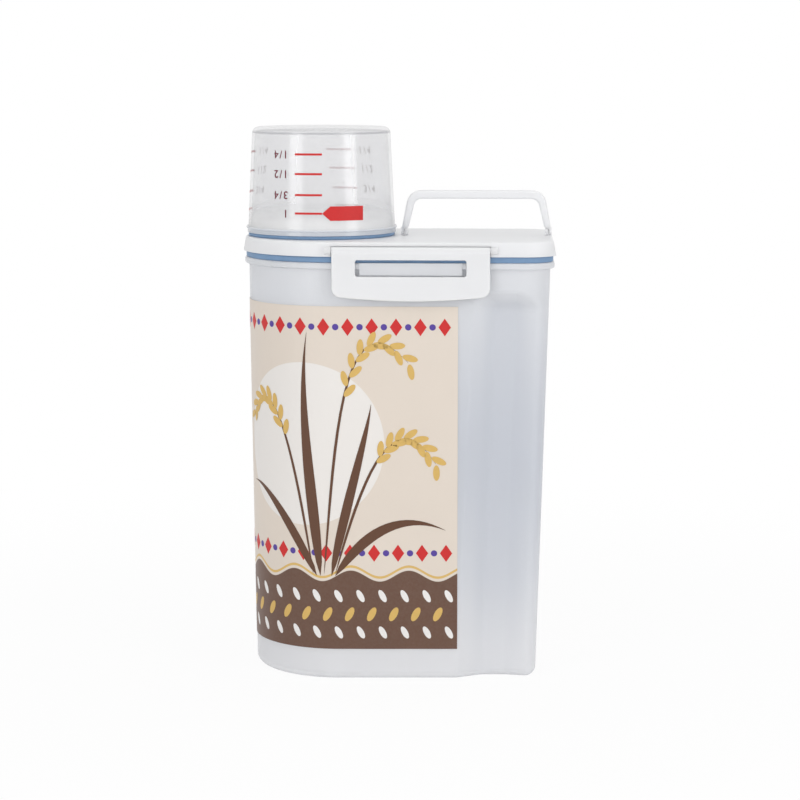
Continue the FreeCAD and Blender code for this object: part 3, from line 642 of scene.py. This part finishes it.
class RICEBIN_OT_label(bpy.types.Operator):
    """Label film with a generic grain design, printed on the near side and again on the far side"""

    bl_idname = "ricebin.label"
    bl_label = "Label"

    # Curves of the ears and of the leaves with their widths, in millimetres along the wall and up it
    EARS = (
        Stem((-14.0, 58.0), (-22.0, 110.0), (-34.0, 176.0), (-58.0, 142.0)),
        Stem((-8.0, 58.0), (-2.0, 120.0), (2.0, 214.0), (38.0, 172.0)),
        Stem((-2.0, 58.0), (10.0, 100.0), (28.0, 158.0), (52.0, 118.0)),
    )
    BLADES = (
        (Stem((-12.0, 57.0), (-26.0, 84.0), (-42.0, 106.0), (-60.0, 104.0)), 5.0),
        (Stem((-10.0, 57.0), (-14.0, 100.0), (-22.0, 150.0), (-16.0, 188.0)), 6.0),
        (Stem((-4.0, 57.0), (4.0, 96.0), (16.0, 134.0), (18.0, 150.0)), 5.0),
        (Stem((-2.0, 57.0), (16.0, 84.0), (36.0, 92.0), (57.0, 82.0)), 5.5),
    )

    # Heights of the marks' rows and the distances between their marks
    ROWS = (69.5, 191.0)
    ROW_PITCH = 12.8
    SEED_ROWS = (26.0, 46.0)
    KERNEL_ROW = 36.0
    SEED_PITCH = 11.8

    # Grains of an ear: where the first is on the curve, the step to the next, lean in degrees, size
    GRAIN_START = 0.5
    GRAIN_STEP = 0.036
    GRAIN_LEAN = 30.0
    GRAIN_SIZE = (8.4, 3.6)

    def execute(self, context):
        colours = settings()
        dress("label", label_film())
        leaf = ink("leaf_ink", colours.earth_colour)
        grain = ink("grain_ink", colours.gold_colour)
        for side, shift in (("near", 0.0), ("far", LABEL_REPEAT)):
            self.show(f"label_leaves_{side}", self.leaves, leaf, PRINT_LIFT + LAYER, shift)
            self.show(f"label_grains_{side}", self.grains, grain, PRINT_LIFT + 2 * LAYER, shift)
        red = ink("red_ink", colours.red_colour)
        violet = ink("violet_ink", colours.violet_colour)
        white = ink("white_ink", colours.moon_colour)
        self.show("label_diamonds", self.diamonds, red, PRINT_LIFT, LABEL_MIDDLE)
        self.show("label_dots", self.dots, violet, PRINT_LIFT, LABEL_MIDDLE)
        self.show("label_seeds", self.seeds, white, PRINT_LIFT, LABEL_MIDDLE)
        self.show("label_kernels", self.kernels, grain, PRINT_LIFT, LABEL_MIDDLE)
        return {"FINISHED"}

    def show(self, name, draw, finish, lift, shift):
        art = Print(draw, shift)
        art.lay(name, wall_point, "bin", finish, lift)

    def leaves(self, art):
        for stem, width in self.BLADES:
            art.blade(stem, width)
        for stem in self.EARS:
            art.blade(stem, 1.5)

    def grains(self, art):
        for stem in self.EARS:
            for step in range(15):
                point, heading = stem.at(self.GRAIN_START + step * self.GRAIN_STEP)
                lean = math.radians(self.GRAIN_LEAN if step % 2 else -self.GRAIN_LEAN)
                turn = math.atan2(heading.y, heading.x) + lean
                centre = point + Vector((math.cos(turn), math.sin(turn))) * 4.4
                art.ellipse(tuple(centre), *self.GRAIN_SIZE, turn)

    def diamonds(self, art):
        for level in self.ROWS:
            for place in evenly(22, self.ROW_PITCH):
                art.ellipse((place, level), 6.6, 9.4, segments=4)

    def dots(self, art):
        for level in self.ROWS:
            for place in evenly(21, self.ROW_PITCH):
                art.ellipse((place, level), 3.4, 3.4)

    def seeds(self, art):
        for level in self.SEED_ROWS:
            for place in evenly(24, self.SEED_PITCH):
                art.ellipse((place, level), 7.4, 3.2, math.radians(118.0))

    def kernels(self, art):
        for place in evenly(23, self.SEED_PITCH):
            art.ellipse((place, self.KERNEL_ROW), 8.4, 3.8, math.radians(62.0))


class RICEBIN_OT_lid(bpy.types.Operator):
    """Lid, latches and handle in moulded white plastic"""

    bl_idname = "ricebin.lid"
    bl_label = "Lid, latches and handle"

    def execute(self, context):
        finish = white_plastic()
        for node in ("lid", "front_latch", "rear_latch", "handle"):
            dress(node, finish)
        return {"FINISHED"}


class RICEBIN_OT_seals(bpy.types.Operator):
    """Both seals in blue elastomer"""

    bl_idname = "ricebin.seals"
    bl_label = "Seals"

    def execute(self, context):
        finish = seal_rubber()
        for node in ("lid_gasket", "spout_gasket"):
            dress(node, finish)
        return {"FINISHED"}


class RICEBIN_OT_cup(bpy.types.Operator):
    """Measuring cup in hazy clear plastic with a bead and three printed scales"""

    bl_idname = "ricebin.cup"
    bl_label = "Measuring cup"

    # Scale in millimetres: numerals and heights of the lines, and places of the three scales round the cup
    LINES = (("1/4", 280.8), ("1/2", 270.5), ("3/4", 259.5), ("1", 249.8))
    SCALES = (("front", 0.0), ("end", -58.0), ("rear", 116.0))

    # Middle and length of a line, where the numerals start, how much their outline is thickened
    TICK_MIDDLE = -4.3
    TICK_LENGTH = 14.6
    NUMERAL_START = -15.6
    NUMERAL_GROWTH = 0.09

    # Tag: tip, shoulder, end and half height; then how far the prints are off the cup, and their strips
    TAG = (3.0, 7.4, 26.0, 3.8)
    LIFT = 0.02
    STRIP = 1.2

    # Radius and height of the bead's middle in metres
    BEAD_RING = (0.0402, 0.2406)

    def execute(self, context):
        colours = settings()
        dress("measuring_cup", clear_cup())
        red = ink("scale_red", colours.red_colour)
        dark = ink("scale_dark", colours.numeral_colour)
        for name, shift in self.SCALES:
            self.show(f"scale_lines_{name}", self.lines, red, shift)
            self.show(f"scale_numerals_{name}", self.numerals, dark, shift)
        self.show("scale_tag", self.tag, red, 0.0)
        self.bead()
        return {"FINISHED"}

    def bead(self):
        """Thin bead round the wall just above the cup's mouth."""
        bm = bmesh.new()
        radius, height = self.BEAD_RING
        section = Matrix.Translation((radius, 0.0, height)) @ Matrix.Rotation(math.pi / 2, 4, "X")
        bmesh.ops.create_circle(bm, segments=12, radius=settings().bead_radius, matrix=section)
        turn = {"axis": (0.0, 0.0, 1.0), "cent": (0.0, 0.0, 0.0), "angle": math.tau, "steps": 160}
        bmesh.ops.spin(bm, geom=bm.verts[:] + bm.edges[:], use_merge=True, **turn)
        bmesh.ops.translate(bm, verts=bm.verts[:], vec=(CUP_AXIS * MM, 0.0, 0.0))
        bmesh.ops.recalc_face_normals(bm, faces=bm.faces[:])
        for face in bm.faces:
            face.smooth = True
        bead = add_piece("cup_bead", bm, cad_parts["measuring_cup"].data.materials[0])
        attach(bead, "cup")

    def show(self, name, draw, finish, shift):
        art = Print(draw, shift)
        art.lay(name, cup_point, "cup", finish, self.LIFT, strip=self.STRIP)

    def lines(self, art):
        for _, height in self.LINES:
            art.bar((self.TICK_MIDDLE, height), self.TICK_LENGTH, settings().tick_width / MM)

    def tag(self, art):
        tip, shoulder, end, half = self.TAG
        full = self.LINES[-1][1]
        top = full + half
        bottom = full - half
        art.area([(tip, full), (shoulder, top), (end, top), (end, bottom), (shoulder, bottom)])

    def numerals(self, art):
        for words, height in self.LINES:
            art.text(words, (self.NUMERAL_START, height), settings().numeral_size / MM, math.pi)
        art.grow(self.NUMERAL_GROWTH)


# Settings, panel and registration


def colour_setting(name, description, colour):
    return bpy.props.FloatVectorProperty(
        name=name, description=description, subtype="COLOR", default=colour, min=0.0, max=1.0
    )


def size_setting(name, description, size):
    return bpy.props.FloatProperty(
        name=name, description=description, unit="LENGTH", default=size, min=0.0, precision=5
    )


def share_setting(name, description, share):
    return bpy.props.FloatProperty(
        name=name, description=description, subtype="FACTOR", default=share, min=0.0, max=1.0
    )


class RiceBinSettings(bpy.types.PropertyGroup):
    """Colours, sizes, clearness and light"""

    body_colour: colour_setting("Body", "Milky tint of the container wall", (0.88, 0.89, 0.925))
    white_colour: colour_setting("White", "White of the lid, latches and handle", (0.84, 0.845, 0.86))
    seal_colour: colour_setting("Seals", "Blue of the two seals", (0.19, 0.31, 0.485))
    cup_colour: colour_setting("Cup", "Tint of the hazy cup", (0.98, 0.98, 0.985))
    cream_colour: colour_setting("Cream", "Ground of the label", (0.76, 0.675, 0.59))
    moon_colour: colour_setting("Moon", "Pale print of the label", (0.86, 0.84, 0.82))
    earth_colour: colour_setting("Earth", "Brown print of the label", (0.125, 0.058, 0.033))
    gold_colour: colour_setting("Gold", "Straw print of the label", (0.70, 0.46, 0.14))
    red_colour: colour_setting("Red", "Red print of the label and cup", (0.62, 0.03, 0.03))
    violet_colour: colour_setting("Violet", "Violet print of the label", (0.10, 0.06, 0.33))
    numeral_colour: colour_setting("Numerals", "Dark red of the cup's numerals", (0.14, 0.012, 0.025))
    wave_level: size_setting("Wave level", "Height of the label's waved edge above the floor", 0.057)
    tick_width: size_setting("Tick width", "Thickness of the lines of the cup's scale", 0.0011)
    numeral_size: size_setting("Numeral size", "Height of the type of the cup's scale", 0.0058)
    bead_radius: size_setting("Bead radius", "Radius of the bead round the cup's mouth", 0.0007)
    body_glow: share_setting("Body glow", "Share of light that passes through the container wall", 0.25)
    body_clear: share_setting("Body clearness", "Share of each wall surface seen straight through", 0.14)
    cup_clear: share_setting("Cup clearness", "Share of each plain cup surface seen straight through", 0.73)
    ambient: bpy.props.FloatProperty(
        name="Ambient", description="Strength of the studio's all-round light", default=0.5, min=0.0,
    )
    lamp_power: bpy.props.FloatProperty(
        name="Lamps", description="Power that each lamp takes a share of",
        default=8.0, min=0.0, unit="POWER",
    )


STEPS = (
    RICEBIN_OT_stage,
    RICEBIN_OT_container,
    RICEBIN_OT_label,
    RICEBIN_OT_lid,
    RICEBIN_OT_seals,
    RICEBIN_OT_cup,
)


class RICEBIN_PT_panel(bpy.types.Panel):
    """Sidebar panel that lists the bin's settings and steps"""

    bl_idname = "RICEBIN_PT_panel"
    bl_label = "Rice Bin"
    bl_space_type = "VIEW_3D"
    bl_region_type = "UI"
    bl_category = "Rice Bin"

    def draw(self, context):
        column = self.layout.column()
        for name in RiceBinSettings.__annotations__:
            column.prop(context.scene.rice_bin, name)
        for step in STEPS:
            column.operator(step.bl_idname)


CLASSES = (RiceBinSettings, *STEPS, RICEBIN_PT_panel)


def register():
    for item in CLASSES:
        bpy.utils.register_class(item)
    bpy.types.Scene.rice_bin = bpy.props.PointerProperty(type=RiceBinSettings)


def unregister():
    del bpy.types.Scene.rice_bin
    for item in reversed(CLASSES):
        bpy.utils.unregister_class(item)


def main():
    register()
    bpy.ops.ricebin.stage()
    bpy.ops.ricebin.container()
    bpy.ops.ricebin.label()
    bpy.ops.ricebin.lid()
    bpy.ops.ricebin.seals()
    bpy.ops.ricebin.cup()


if __name__ == "__main__":
    main()
